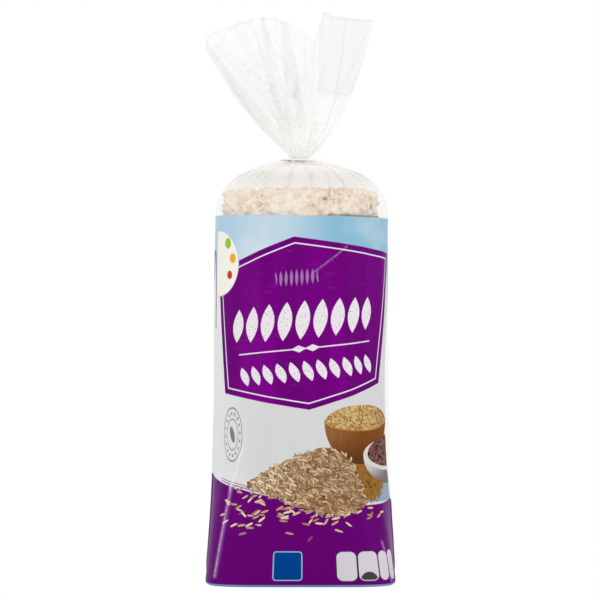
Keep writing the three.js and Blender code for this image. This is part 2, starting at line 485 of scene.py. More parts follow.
def even_ring(points, shares):
    """Points at these shares of a closed ring, and the ring's length in millimetres."""
    steps = np.linalg.norm(np.diff(points, axis=0), axis=1)
    travelled = np.concatenate([[0], np.cumsum(steps)])
    middle, whole = travelled[len(travelled) // 2], travelled[-1]
    distance = np.interp(shares, [0, 0.5, 1], [0, middle, whole])
    ring = [np.interp(distance, travelled, column) for column in points.T]
    return np.stack(ring, axis=-1), whole


def ring_angles(level, shares):
    """Directions at even shares of the film's length round the wall at one height."""
    ring, _ = even_ring(wall_point(RING_ANGLES, level), shares)
    angles = np.arctan2(ring[:, 1], ring[:, 0])
    return np.where(angles > np.pi / 2, angles - 2 * np.pi, angles)


_, FILM_LENGTH = even_ring(wall_point(RING_ANGLES, SHOULDER_START / 2), np.zeros(1))
print(f"film round the cakes {FILM_LENGTH:.0f} mm")

# %% [markdown]
# ## Printed film
# The wall of the bag is printed film, pulled round the cakes and folded flat beneath
# them. Creases run up from the base's corners, two side folds stand out a little, and
# slow waves round the wall catch the light as on real film. Round its top one can look
# in over the cakes, so there it has its white inner face too.

# %% Creases and waves in the printed film
# Each crease: where it starts and ends, as (mm along the film from the front's middle,
# height), how far it stands out, and how wide it is.
CREASES = [
    ((-38, 82), (-45, 58), 0.9, 3.0),
    ((-44.8, 60), (-46.5, 6), 1.0, 2.8),
    ((48, 26), (51, 3), 0.6, 2.6),
    ((29, 204), (8, 188), 0.25, 1.2),
    ((-62, 175), (-57, 92), 0.5, 2.2),
    ((60, 130), (66, 96), 0.5, 2.0),
    ((96, 70), (108, 8), 0.9, 3.0),
    ((-100, 58), (-112, 6), 0.9, 3.0),
]
# Each wave: its height, how often it goes round, its phase, and its drift with height.
WAVES = [(0.34, 7, 0.9, 0.011), (0.22, 12, 2.2, -0.016), (0.12, 19, 4.1, 0.027)]
WAVES_START, WAVES_END = (2, 30), (PRINT_TOP - 25, PRINT_TOP)
SIDE_FOLD_REACH, SIDE_FOLD_WIDTH = 0.9, 1.6
SIDE_FOLD_START, SIDE_FOLD_END = (0, 12), (60, 130)
CREASE_START = (0, 0.25)


def segment_distance(x, y, start, end):
    """Distance from points to a straight segment, and the share along it."""
    run = np.subtract(end, start).astype(float)
    from_start = np.stack([x - start[0], y - start[1]], axis=-1)
    share = np.clip(from_start @ run / (run @ run), 0, 1)
    return np.linalg.norm(from_start - share[..., None] * run, axis=-1), share


def wall_relief(along, height, angle):
    """How far the film stands out from the plain wall, in millimetres."""
    relief = np.zeros_like(along)
    for size, count, phase, drift in WAVES:
        relief += size * np.sin(count * angle + phase + drift * height)
    relief *= smooth_step(height, *WAVES_START) * (1 - smooth_step(height, *WAVES_END))
    for start, end, size, width in CREASES:
        distance, share = segment_distance(along, height, start, end)
        relief += size * np.exp(-distance / width) * smooth_step(share, *CREASE_START)
    from_side = np.abs(np.sin(angle)) * WALL_HALF_DEPTH
    fold = np.exp(-(from_side / SIDE_FOLD_WIDTH) ** 2) * smooth_step(height, *SIDE_FOLD_START)
    return relief + SIDE_FOLD_REACH * fold * (1 - smooth_step(height, *SIDE_FOLD_END))


# %% Build the printed film
COLUMNS = 420
BASE_ROWS, WALL_ROWS = 10, 150
# Rows crowd towards the base, where the form is tightest.
WALL_CROWDING = 1.15
BASE_PRINT = 12.0
FOOT = 0.05
LINED_ROWS, LINING_GAP = 14, 0.004
SHARP_RIM = math.radians(75)


def print_top(angle):
    return PRINT_TOP - PRINT_TOP_TILT * np.cos(angle)


def grid_faces(rows, columns):
    """Quads of a grid whose columns close on themselves."""
    return [(row * columns + column, row * columns + (column + 1) % columns,
             (row + 1) * columns + (column + 1) % columns, (row + 1) * columns + column)
            for row in range(rows - 1) for column in range(columns)]


def set_film_map(obj, columns, row_values):
    """A UV map that follows the film: u along it from the back, v up it."""
    layer = obj.data.uv_layers.new(name="film")
    values = (np.array(row_values) - row_values[0]) / (row_values[-1] - row_values[0])
    uvs = np.zeros((len(layer.data), 2), dtype=np.float32)
    quads = uvs[:(len(row_values) - 1) * columns * 4].reshape(-1, columns, 4, 2)
    left = np.arange(columns) / columns
    for corner, (across, up) in enumerate(((0, 0), (1, 0), (1, 1), (0, 1))):
        quads[:, :, corner, 0] = left + across / columns
        quads[:, :, corner, 1] = values[up:len(values) - 1 + up, None]
    layer.data.foreach_set("uv", uvs.ravel())


def paint(obj, first, second, takes_second):
    """Gives a piece two materials, the second one on the faces that take it."""
    for net in (first, second):
        obj.data.materials.append(net.material)
    obj.data.polygons.foreach_set("material_index", np.asarray(takes_second, np.int32))


shares = np.arange(COLUMNS) / COLUMNS
along_film = (shares - 0.5) * FILM_LENGTH
rows, row_places = [], []
foot_angles = ring_angles(0.0, shares)
foot_radius = wall_radius(foot_angles, 0.0) - BASE_EDGE_RADIUS
for t in np.linspace(0.02, 1, BASE_ROWS, endpoint=False):
    rows.append(round_point(foot_radius * t, foot_angles, FOOT))
    row_places.append(BASE_PRINT * (t - 1))
for level in np.linspace(0, 1, WALL_ROWS) ** WALL_CROWDING:
    angles = ring_angles(level * PRINT_TOP, shares)
    heights = blend(FOOT, print_top(angles), level)
    turn = np.clip(heights / BASE_EDGE_RADIUS, 0, 1)
    inset = BASE_EDGE_RADIUS * (1 - np.sqrt(1 - (1 - turn) ** 2))
    radius = wall_radius(angles, heights) - inset + wall_relief(along_film, heights, angles)
    rows.append(round_point(radius, angles, heights))
    row_places.append(level * PRINT_TOP)
outer_faces = (len(rows) - 1) * COLUMNS
for row in reversed(rows[-LINED_ROWS:]):
    rows.append(row * (1 - LINING_GAP, 1 - LINING_GAP, 1))

wrap_faces = grid_faces(len(rows), COLUMNS)
lined = [face >= outer_faces for face in range(len(wrap_faces))] + [False]
wrap_faces.append(tuple(reversed(range(COLUMNS))))
printed_film = mesh_object("printed_film", np.concatenate(rows) * MM, wrap_faces)
set_film_map(printed_film, COLUMNS, row_places)
printed_film.data.set_sharp_from_angle(angle=SHARP_RIM)
print("printed film:", len(wrap_faces), "faces")

# %% [markdown]
# ## The print
# The print is fields of flat colour with simple shapes on them: a hexagonal label, a
# badge, a heap of grain with two bowls, a base band, and small plain boxes. The UV map
# gives each point's place on the film, so every field is worked out in millimetres.

# %% Places and outlines on the film
film = Net("printed_film", Roughness=0.3, Specular_IOR_Level=0.02)
u, v = film.film_place()
along = (u - 0.5) * FILM_LENGTH
height = v * (row_places[-1] - row_places[0]) + row_places[0]
here = (along, height)
place = film.join(*here)

EDGE = 0.35


def inside(distance, softness=EDGE):
    """1 where the distance to an outline is negative, which is inside it."""
    return 1 - distance.ramp(-softness / 2, softness / 2)


def outline(distance, width):
    return inside(distance.abs() - width / 2)


def placed(source, centre, tilt=0.0):
    """Along and up from a centre, turned by a tilt in degrees."""
    x, y = source[0] - centre[0], source[1] - centre[1]
    if not tilt:
        return x, y
    c, s = math.cos(math.radians(tilt)), math.sin(math.radians(tilt))
    return x * c + y * s, y * c - x * s


def ellipse(source, centre, half, tilt=0.0):
    """Distance to an ellipse, close to true near its outline."""
    x, y = placed(source, centre, tilt)
    ring = ((x / half[0]) ** 2 + (y / half[1]) ** 2).sqrt()
    return (ring - 1) * min(half)


def rounded_box(source, centre, half, radius):
    x, y = placed(source, centre)
    dx, dy = (x.abs() - (half[0] - radius)).most(0), (y.abs() - (half[1] - radius)).most(0)
    return (dx * dx + dy * dy).sqrt() - radius


def convex(source, corners):
    """Distance to a convex outline, given its corners anticlockwise."""
    found = None
    for (ax, ay), (bx, by) in zip(corners, corners[1:] + corners[:1]):
        length = math.hypot(bx - ax, by - ay)
        nx, ny = (by - ay) / length, -(bx - ax) / length
        side = source[0] * nx + source[1] * ny - (ax * nx + ay * ny)
        found = side if found is None else found.most(side)
    return found


# %% Paper white, sky and base band
PALE, PALE_LEFT = ink(211, 211, 212), ink(226, 227, 227)
SKY, SKY_LEFT, SKY_PALE = ink(135, 183, 208), ink(172, 204, 226), ink(200, 216, 227)
PURPLE, BAND_PURPLE = ink(105, 0, 115), ink(99, 0, 110)
BAND_MEAN, BAND_SWING, BAND_LOW_AT = 58.2, 9.8, 40
# The two fine lines over the band: how far above it, and how wide.
BAND_RULES = ((1.2, 0.5), (2.6, 0.4))

cloud = film.noise(place, 0.02, 3)
paleness = (cloud.ramp(0.45, 0.62) * 0.45 + (1 - (along + 18).abs().ramp(4, 42)) * 0.7).least(1)
sky_tone = film.lay(SKY_LEFT, (along.ramp(-70, 30), SKY), (paleness, SKY_PALE))
band_top = BAND_MEAN - ((along - BAND_LOW_AT) * (2 * math.pi / FILM_LENGTH)).cos() * BAND_SWING
low_rule, high_rule = (outline(height - band_top - rise, width) for rise, width in BAND_RULES)
print_colour = film.lay(
    PALE,
    ((along * -1).ramp(20, 70), PALE_LEFT),
    ((height + along.abs() * 0.18).ramp(186, 208), sky_tone),
    (inside(height - band_top), BAND_PURPLE),
    (low_rule.most(high_rule) * (1 - (along + 40).abs().ramp(14, 17)), PURPLE))

# %% [markdown]
# The label is a leaning hexagon with a pale line inside its edge and fine hatching in
# its border. Its motifs are rows of plain grains with a ruled line between them. The
# pale motifs are worn, as if stamped, because noise takes specks out of them. The film
# carries the label twice, so that one always shows.

# %% The label
LABEL_TILT = 6
LABEL_CENTRE = (1.5, 158)
LABEL_OFFSETS = (-139.6, 0)
LABEL_CORNERS = [(72.6, 35.1), (0, 51.5), (-60.8, 34.6), (-58.7, -37.4), (-1.7, -52.2), (50.7, -42)]
LABEL_LINE_INSET = 3.7
LABEL_WHITE, LABEL_MAUVE = ink(232, 226, 230), ink(158, 116, 166)
# The first of these purples is a painted sheen: lighter purple where waves in the film catch the light.
SHEEN_PURPLE, HATCH_PURPLE, WORN_PURPLE = ink(124, 0, 136), ink(86, 0, 96), ink(128, 40, 138)
# Rows of grains: middle, count, pitch, half size, lean, and how much its ends shrink.
BIG_ROW = ((0, 1.5), 9, 10.8, (4.3, 11.5), 0.22, 0.2)
SMALL_ROW = ((0, -29), 11, 8.2, (2.9, 6.2), -0.3, 0.1)
CREST_ROW = ((-1, 27), 8, 3.2, (0.9, 5.0), 0.1, 0.2)
HATCH_TURN = 2.6
RULE_DROP, RULE_HALF = 15.5, (44, 0.38)
GEM_AT, GEM_HALF = 4.2, (4.6, 2.1)

worn = film.noise(place, 0.9, 5, 0.7).ramp(0.57, 0.63)
smudge = film.noise(film.join(along * 0.25, height), 0.35, 3).ramp(0.60, 0.72)
# Painted sheen: soft upright bands where the label's purple looks lighter, as the film's waves catch the
# light.
sheen = film.noise(film.join(along, height * 0.12), 0.045, 2).ramp(0.42, 0.66)
scratch = film.noise(place, 0.22, 5, 0.75).ramp(0.705, 0.72)


def grain_row(source, centre, count, pitch, half, lean, arch):
    """Distance to a row of leaning grains, tallest in the middle."""
    x, y = placed(source, centre)
    reach = x.abs() - count * pitch / 2
    cell = x.wrap(pitch / 2)
    tall = 1 - (x / (count * pitch / 2)) ** 2 * arch
    bent = cell - y * lean
    grain = (bent / half[0]).abs() + (y / (tall * half[1])) ** 2 - 1
    return (grain * half[0]).most(reach)


def add_label(colour, offset):
    source = ((along - offset).wrap(FILM_LENGTH / 2), height)
    p, q = placed(source, LABEL_CENTRE, LABEL_TILT)
    edge = convex((p, q), LABEL_CORNERS)
    hatch = ((p + q) * HATCH_TURN).sin().ramp(0.1, 0.6) * inside(edge * -1 - LABEL_LINE_INSET)
    big, small, crest = (grain_row((p, q), *row) for row in (BIG_ROW, SMALL_ROW, CREST_ROW))
    from_rule = (q + RULE_DROP).abs()
    ruled = (from_rule - RULE_HALF[1]).most(p.abs() - RULE_HALF[0])
    gems = (((p.abs() - GEM_AT).abs() / GEM_HALF[0] + from_rule / GEM_HALF[1]) - 1) * 2
    motifs = big.least(small).least(ruled).least(gems)
    purple = film.lay(PURPLE, (hatch * 0.55, HATCH_PURPLE), (sheen * 0.8, SHEEN_PURPLE))
    return film.lay(
        colour,
        (inside(edge), purple),
        (inside(edge) * smudge * 0.35, WORN_PURPLE),
        (outline(edge + LABEL_LINE_INSET, 0.75), LABEL_WHITE),
        (inside(crest), LABEL_MAUVE),
        (inside(edge) * scratch * 0.8, LABEL_WHITE),
        (inside(motifs) * (1 - worn * 0.85), LABEL_WHITE))


for offset in LABEL_OFFSETS:
    print_colour = add_label(print_colour, offset)

# %% Badge and seal
BADGE_WHITE, BADGE_EDGE = ink(240, 237, 230), ink(196, 186, 190)
BADGE_AT, BADGE_HALF, BADGE_CUT = (-62, 192.8), (20.6, 19.6), -66
# The badge's dots: colour, middle and radius.
BADGE_DOTS = ((ink(150, 190, 60), (-52, 205), 3.2),
              (ink(236, 168, 44), (-47, 196), 3.0),
              (ink(196, 62, 50), (-50, 186), 2.6))
SEAL_GREY = ink(98, 97, 102)
SEAL_AT, SEAL_HALF, SEAL_DOTS = (-46, 90), (7.6, 16), 16
SEAL_KERNEL, KERNEL_TILT = (1.7, 5.0), 14

badge = ellipse(here, BADGE_AT, BADGE_HALF).most(BADGE_CUT - along)
print_colour = film.lay(print_colour, (inside(badge - 0.4), BADGE_EDGE), (inside(badge), BADGE_WHITE))
for colour, centre, radius in BADGE_DOTS:
    print_colour = film.lay(print_colour, (inside(ellipse(here, centre, (radius, radius))), colour))

seal = ellipse(here, SEAL_AT, SEAL_HALF)
x, y = placed(here, SEAL_AT)
turn = (y / SEAL_HALF[1]).apply("ARCTAN2", x / SEAL_HALF[0])
dots = inside((seal + 1.6).abs() - 0.45) * (turn * SEAL_DOTS).sin().ramp(0.2, 0.6)
kernel = ellipse(here, SEAL_AT, SEAL_KERNEL, KERNEL_TILT)
marks = outline(seal, 0.45).most(outline(seal + 3.2, 0.35)).most(dots).most(inside(kernel))
print_colour = film.lay(print_colour, (marks * 0.85, SEAL_GREY))

# %% [markdown]
# Grains are drawn one by one in the cells of a stretched Voronoi pattern: a cell's
# middle decides whether its grain is there, and the cell's random colour gives its
# tone. Several such layers at different slants make a heap.

# %% A layer of drawn grains
GRAIN_ROOM = 1.35
GRAIN_SCATTER = 0.85
FLAT_CELLS = {"voronoi_dimensions": "2D"}


def grain_layer(slant, length, width, shift):
    """One layer: distance from each grain's axis, its random numbers and its middle."""
    c, s = math.cos(math.radians(slant)), math.sin(math.radians(slant))
    x, y = along * c + height * s, height * c - along * s
    sx, sy = length * GRAIN_ROOM, width * GRAIN_ROOM
    at = (x / sx + shift, y / sy + shift * 1.7)
    cell = film.cells(film.join(*at), 1.0, FLAT_CELLS, Randomness=GRAIN_SCATTER)
    mx, my, _ = film.split(cell["Position"])
    randoms = film.split(cell["Color"])
    dx, dy = (at[0] - mx) * sx, (at[1] - my) * sy
    dy = dy - dx * (randoms[0] - 0.5) * 0.9
    reach = (dx / (length / 2)) ** 4 + (dy / (width / 2)) ** 2
    mx, my = (mx - shift) * sx, (my - shift * 1.7) * sy
    return reach, randoms, (mx * c - my * s, mx * s + my * c)


def add_grains(colour, layers, presence, tones, shadow, depth=0.5):
    """Grains over a colour: presence says, from its middle, how likely a grain is."""
    for slant, length, width, shift in layers:
        reach, (_, tone, chance), centre = grain_layer(slant, length, width, shift)
        there = (presence(*centre) - chance).ramp(0.005, 0.02)
        lit = film.shade(film.mix(tone, *tones), 1.08 - reach * 0.32)
        colour = film.lay(colour, ((1 - reach.ramp(1.0, 1.9)) * there * depth, shadow),
                          ((1 - reach.ramp(0.85, 1.1)) * there, lit))
    return colour


# %% The heap of rice, and the grains strewn below it
RICE_TONES = (ink(134, 95, 58), ink(238, 209, 170))
RICE_SHADOW, RICE_SHADE = ink(80, 50, 26), ink(112, 70, 34)
STREWN_TONES = (ink(164, 118, 78), ink(236, 212, 176))
# Layers of grains: slant in degrees, length, width, and a shift to other grains.
RICE_LAYERS = [(12, 4.6, 1.45, 3.1), (-38, 4.8, 1.45, 7.7), (65, 4.4, 1.5, 12.9),
               (-5, 4.9, 1.5, 21.3), (34, 4.6, 1.45, 35.9), (-70, 4.3, 1.45, 44.1),
               (-22, 4.7, 1.5, 52.7)]
STREWN_LAYERS = [(8, 5.0, 1.35, 61.7), (-20, 4.9, 1.3, 73.1), (38, 4.8, 1.3, 82.3)]
CREST_ALONG, RIGHT_REACH, RIGHT_FOOT, RIGHT_RISE, LEFT_FALL = 15, 25, 50, 33, 0.067
# The heap's foot is lowest between two places, and rises at a slope on either side.
LOWEST_FOOT, (FOOT_LEFT, LEFT_SLOPE), (FOOT_RIGHT, RIGHT_SLOPE) = 43.5, (12, 0.36), (30, 0.6)
STREWN_ALONG, STREWN_REACH, STREWN_FROM, STREWN_TO = 1, 62, (24, 25), (56, 62)
THICKENS, THICKEST, FEWEST = (27, 43), 0.25, 0.012


def heap_depth(x, y):
    """How far inside the heap's outline a place is, in millimetres."""
    past_crest, before_crest = (x - CREST_ALONG).most(0), (CREST_ALONG - x).most(0)
    steep = (1 - (past_crest / RIGHT_REACH) ** 2).most(0).sqrt() * RIGHT_RISE
    top = RIGHT_FOOT + steep - before_crest ** 1.5 * LEFT_FALL
    rise = (FOOT_LEFT - x).most(0) * LEFT_SLOPE + (x - FOOT_RIGHT).most(0) * RIGHT_SLOPE
    return (top - y).least(y - (rise + LOWEST_FOOT))


def strewn(x, y):
    """How likely a strewn grain is: thickest under the heap, with a few further down."""
    near = 1 - ((x - STREWN_ALONG) / STREWN_REACH).abs().ramp(0.5, 1.0)
    thick = y.ramp(*THICKENS) ** 2 * THICKEST + FEWEST
    return near * thick * (1 - y.ramp(*STREWN_TO)) * y.ramp(*STREWN_FROM)


def add_heap(colour):
    heap = heap_depth(along, height)
    colour = film.lay(colour, (heap.ramp(0.5, 3.5), RICE_SHADOW))
    colour = add_grains(colour, RICE_LAYERS, lambda x, y: heap_depth(x, y).ramp(-0.8, 1.8) * 1.02,
                        RICE_TONES, RICE_SHADOW, depth=0.95)
    return film.lay(colour, (heap.ramp(-1.0, 2.0) * along.ramp(-25, 25) * 0.36, RICE_SHADE))


print_colour = add_grains(print_colour, STREWN_LAYERS, strewn, STREWN_TONES, BAND_PURPLE)

# %% The bowls
CLAY = {"light": ink(150, 98, 58), "middle": ink(128, 77, 33), "dark": ink(92, 56, 30),
        "lip": ink(178, 122, 72)}
CHINA = {"light": ink(214, 210, 208), "middle": ink(112, 100, 96), "dark": ink(112, 100, 96),
         "lip": ink(214, 210, 208)}
GOLD_DARK, GOLD_LIGHT, GOLD_TABLE = ink(160, 110, 52), ink(232, 200, 138), ink(140, 104, 48)
GOLD_LAYERS = [(10, 3.6, 1.3, 91.3), (-40, 3.6, 1.3, 97.1), (70, 3.4, 1.3, 103.9)]
SEED_TONES = (ink(60, 28, 26), ink(150, 104, 92))
OLIVE, SLATE = ink(108, 76, 34), ink(142, 160, 182)
TABLE = [(30, 50), (80, 50), (80, 64), (48, 80), (30, 80)]
SPILL = [(30, 50), (54, 53), (64, 63), (50, 80), (30, 80)]


def add_bowl(colour, centre, half_width, rim, mouth_half, lip_width, top, bottom, glaze, seeds, seed_size):
    """A bowl seen from a little above, with a heap of fine seed in it."""
    x, y = along - centre, height
    depth = rim - bottom
    wide = x / half_width
    cup = ((wide.abs() ** 2.3 + ((rim - y) / depth) ** 2).sqrt() - 1) * depth
    streaks = film.noise(film.join(x, y * 0.15), 0.5, 3).ramp(0.3, 0.75)
    body = film.lay(glaze["light"], (wide.ramp(-0.9, 0.1), glaze["middle"]), (streaks * 0.3, glaze["dark"]),
                    (((rim - y) / depth).ramp(0.25, 1.0), glaze["dark"]))
    mouth = ellipse((x, y), (0, rim), (half_width, mouth_half))
    wide = x / (half_width - lip_width)
    lift = ((y - rim) / (top - rim)).most((rim - y) / (mouth_half - lip_width * 0.7))
    mound = wide.abs() ** 2.2 + lift ** 2 - 1
    cell = film.cells(place, 1 / seed_size, FLAT_CELLS)
    tone, _, _ = film.split(cell["Color"])
    grains = film.shade(film.mix(tone, *seeds), 1.15 - Field(film, cell["Distance"]) * 0.7)
    grains = film.shade(grains, 1 - wide.ramp(0.2, 1.0) * 0.25)
    return film.lay(colour, (inside(cup.most(y - rim)), body), (inside(mouth), glaze["lip"]),
                    (inside(mound * 6), grains))


print_colour = film.lay(print_colour, (inside(convex(here, TABLE)), SLATE),
                        (inside(convex(here, SPILL) + 1.5, 2.5), OLIVE))
print_colour = add_grains(print_colour, GOLD_LAYERS,
                          lambda x, y: (convex((x, y), SPILL) * -1).ramp(-1.5, 0.5) * 1.02,
                          (GOLD_DARK, GOLD_TABLE), OLIVE)
print_colour = add_bowl(print_colour, centre=40, half_width=25.5, rim=98.8, mouth_half=6.0,
                        lip_width=0.9, top=108.6, bottom=73, glaze=CLAY,
                        seeds=(GOLD_DARK, GOLD_LIGHT), seed_size=1.0)
print_colour = add_bowl(print_colour, centre=72, half_width=30.5, rim=78.5, mouth_half=10.5,
                        lip_width=3.6, top=90, bottom=60, glaze=CHINA,
                        seeds=SEED_TONES, seed_size=1.4)
print_colour = add_heap(print_colour)

# %% The bare side panel, and the line at the left
SIDE_WHITE = ink(252, 252, 250)
PANEL_AT, PANEL_HALF = (97, 118), (32, 80)
LINE_AT, LINE_HALF, LINE_ROUNDING = (-67.4, 177), (0.55, 23.5), 0.4
print_colour = film.lay(print_colour, (inside(ellipse(here, PANEL_AT, PANEL_HALF)), SIDE_WHITE),
                        (inside(rounded_box(here, LINE_AT, LINE_HALF, LINE_ROUNDING)), PURPLE))

# %% Small plain boxes on the base band, and the folded edge
TAG_BLUE, TAG_EDGE = ink(2, 68, 139), ink(150, 190, 220)
TAG_AT, TAG_HALF, TAG_ROUNDING = (-6.9, 12.7), (7.9, 8.8), 2.0
BOX_WHITE, BOX_LINE, BOX_DARK = ink(212, 205, 213), ink(60, 46, 64), ink(74, 64, 68)
BOX_MIDDLE, BOX_HALF_HEIGHT, BOX_ROUNDING = 12.5, 8.7, 3.4
DOME_MIDDLE, DOME_HALF_HEIGHT = 3.0, 6.2
# Each box: from where to where along the film, and whether it has a dark dome.
BOXES = ((19.3, 30.0, False), (31.0, 42.2, True), (43.0, 49.4, False), (50.4, 58.0, False))
EDGE_BLUE = ink(128, 162, 200)

tag = rounded_box(here, TAG_AT, TAG_HALF, TAG_ROUNDING)
print_colour = film.lay(print_colour, (inside(tag), TAG_EDGE), (inside(tag + 0.6), TAG_BLUE))
for low, high, domed in BOXES:
    middle, half = (low + high) / 2, (high - low) / 2
    barrel = rounded_box(here, (middle, BOX_MIDDLE), (half, BOX_HALF_HEIGHT), BOX_ROUNDING)
    print_colour = film.lay(print_colour, (inside(barrel - 0.5), BOX_LINE), (inside(barrel), BOX_WHITE))
    if domed:
        dome = ellipse(here, (middle, DOME_MIDDLE), (half * 0.92, DOME_HALF_HEIGHT))
        print_colour = film.lay(print_colour, (inside(dome.most(barrel + 0.5)), BOX_DARK))
print_colour = film.lay(print_colour, (1 - height.ramp(0.9, 1.6), EDGE_BLUE))

# %% Worn crease lines with painted highlights, and the finish of the printed film
CREASE_WEAR_AND_HIGHLIGHT_LILAC, CREASE_WEAR_AND_HIGHLIGHT_PALE = ink(222, 182, 230), ink(238, 238, 240)


def segment_field(source, start, end):
    """Distance to a straight segment."""
    (ax, ay), (bx, by) = start, end
    length = math.hypot(bx - ax, by - ay)
    dx, dy = (bx - ax) / length, (by - ay) / length
    x, y = source[0] - ax, source[1] - ay
    ahead = (x * dx + y * dy).most(0).least(length)
    return ((x - ahead * dx) ** 2 + (y - ahead * dy) ** 2).sqrt()


crease_wear_and_highlight_colour = film.mix(inside(height - band_top), CREASE_WEAR_AND_HIGHLIGHT_PALE, CREASE_WEAR_AND_HIGHLIGHT_LILAC)
fleck = film.noise(place, 0.35, 4, 0.7).ramp(0.35, 0.7)
# Each crease gets a narrow whitened line, partly wear and partly painted highlight, and a broad soft painted
# highlight beside it.
for start, end, size, width in CREASES:
    away = segment_field(here, start, end)
    whitened_and_lit_line = (1 - away.ramp(0.1, 0.8)) * (fleck * 0.5 + 0.1)
    painted_crease_highlight = (1 - away.ramp(0.0, width * 1.1)) ** 2 * 0.26
    print_colour = film.lay(print_colour, (((whitened_and_lit_line + painted_crease_highlight) * size).least(1), crease_wear_and_highlight_colour))

film.finish(Base_Color=print_colour)
film.bump(film.noise(film.join(along * 0.5, height * 0.25), 0.16, 4, 0.55), 1.2, 0.5)
lining = Net("film_inner_face", Base_Color=ink(252, 252, 250), Roughness=0.4)
paint(printed_film, film, lining, lined)
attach(printed_film, "root")
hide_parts("bag")
print("print nodes:", len(film.tree.nodes))

# %% [markdown]
# ## Clear film
# Above the print the same film is clear. It keeps its whole length while the ring it
# follows shrinks to the neck, so the surplus folds into knife pleats: at each one the
# film runs on past the fold line, doubles back, and goes on again. The surplus at a
# level is shared out between the pleats, and it is nothing where the ring is full.

# %% Rings of the clear film
WALL_STEPS, SHOULDER_STEPS, NECK_STEPS, TAIL_STEPS = 5, 36, 4, 88
RING_SHARES = np.linspace(0, 1, 961)[:-1]
TAIL_CROWDING = 1.1
OVERLAP = 1.6
# The front layer's reach goes down at the left corner and in the right lobe. Each step
# gives the next reach, and the shares across the layer between which it comes.
LEFT_REACH, REACH_START = 0.9, (0.01, 0.06)
REACH_STEPS = [(0.99, 0.04, 0.22), (0.8, 0.42, 0.58), (0.58, 0.56, 0.62), (1, 0.95, 0.995)]


def clear_wall_point(angle, t):
    return wall_point(angle, blend(print_top(angle) - OVERLAP, shoulder_start(angle), t))


def front_reach(share):
    """How far up the tail the front layer reaches, as a part of the back layer's."""
    reach = LEFT_REACH
    for value, low, high in REACH_STEPS:
        reach = blend(reach, value, smooth_step(share, low, high))
    return blend(1, reach, smooth_step(share, *REACH_START))


tail_levels = np.linspace(0, 1, 81)
tail_rings = [even_ring(tail_point(RING_ANGLES, t), RING_SHARES) for t in tail_levels]
tail_table = np.stack([ring for ring, _ in tail_rings])
tail_lengths = np.array([length for _, length in tail_rings])
front_share = np.clip((RING_SHARES - 0.25) * 2, 0, 1)
at_front = (RING_SHARES > 0.25) & (RING_SHARES < 0.75)
back_share = np.where(RING_SHARES < 0.5, 0.25 - RING_SHARES, 1.25 - RING_SHARES) * 2
STRIP_SHARES, STRIP_RISE = (0.745, 0.80), 0.010
in_strip = (back_share > STRIP_SHARES[0]) & (back_share < STRIP_SHARES[1])
tail_reach = np.where(at_front, front_reach(front_share), 1 + STRIP_RISE * in_strip)


def outward_normals(table):
    """Unit normals of a grid of rings, which point out of the bag."""
    around = np.roll(table, -1, axis=1) - np.roll(table, 1, axis=1)
    normals = np.cross(around, np.gradient(table, axis=0))
    return normals / np.maximum(np.linalg.norm(normals, axis=-1, keepdims=True), 1e-9)


rings = [even_ring(clear_wall_point(RING_ANGLES, t), RING_SHARES)
         for t in np.linspace(0, 1, WALL_STEPS + 1)]
for form, steps in ((shoulder_point, SHOULDER_STEPS), (neck_point, NECK_STEPS)):
    rings += [even_ring(form(RING_ANGLES, t), RING_SHARES) for t in np.linspace(0, 1, steps + 1)[1:]]
TAIL_ROW = len(rings)
ring_points = [ring for ring, _ in rings]
ring_lengths = [length for _, length in rings]
outward = list(outward_normals(np.stack(ring_points)))
tail_normals = outward_normals(tail_table)
ring_columns = np.arange(len(RING_SHARES))
for t in np.linspace(0, 1, TAIL_STEPS + 1)[1:]:
    level = t ** TAIL_CROWDING
    at = level * tail_reach * (len(tail_levels) - 1)
    low = np.minimum(at.astype(int), len(tail_levels) - 2)
    part = (at - low)[:, None]
    for table, found in ((tail_table, ring_points), (tail_normals, outward)):
        found.append(table[low, ring_columns] * (1 - part) + table[low + 1, ring_columns] * part)
    ring_lengths.append(float(np.interp(level, tail_levels, tail_lengths)))
ring_points, ring_lengths, outward = map(np.array, (ring_points, ring_lengths, outward))
print("rings:", ring_points.shape[0], "shortest", ring_lengths.min().round(1), "mm, at the mouth",
      ring_lengths[-1].round(1), "mm")

# %% Pleats
PLEATS = 26
FLAT_STEPS, FOLD_STEPS = 7, 4
FULL_FILM = FILM_LENGTH + 8
LIFT, GREATEST_LIFT = 0.48, 1.5
NECK_PLEATS_FADE = (0.0, 0.45)
# A few folds run on up the tail: they keep a half width, from a part of its height on.
TAIL_FOLD_HALF, TAIL_FOLD_START, LIGHTEST_FOLD = 1.3, (0.2, 0.5), 0.3
# These folds are at shares across a layer, each with its weight.
TAIL_FOLDS = {0.05: 0.8, 0.34: 0.6, 0.45: 0.8}

draw = random.Random(11)
pleat_places = [(k + 0.5 + draw.uniform(-0.26, 0.26)) / PLEATS for k in range(PLEATS)]
neck_weight = np.array([draw.uniform(0.5, 1.6) for _ in range(PLEATS)])
tail_weight = np.array([draw.uniform(0.0, 0.08) for _ in range(PLEATS)])
for share, weight in TAIL_FOLDS.items():
    for layer in (0.25 + share / 2, (0.25 - share / 2) % 1):
        nearest = min(range(PLEATS), key=lambda k: abs(pleat_places[k] - layer))
        pleat_places[nearest] = layer
        tail_weight[nearest] = weight
order = np.argsort(pleat_places)
pleat_places = np.array(pleat_places)[order]
neck_weight, tail_weight = neck_weight[order], tail_weight[order]
before = (pleat_places + np.roll(pleat_places, 1)) / 2
before[0] -= 0.5
after = np.append(before[1:], before[0] + 1)


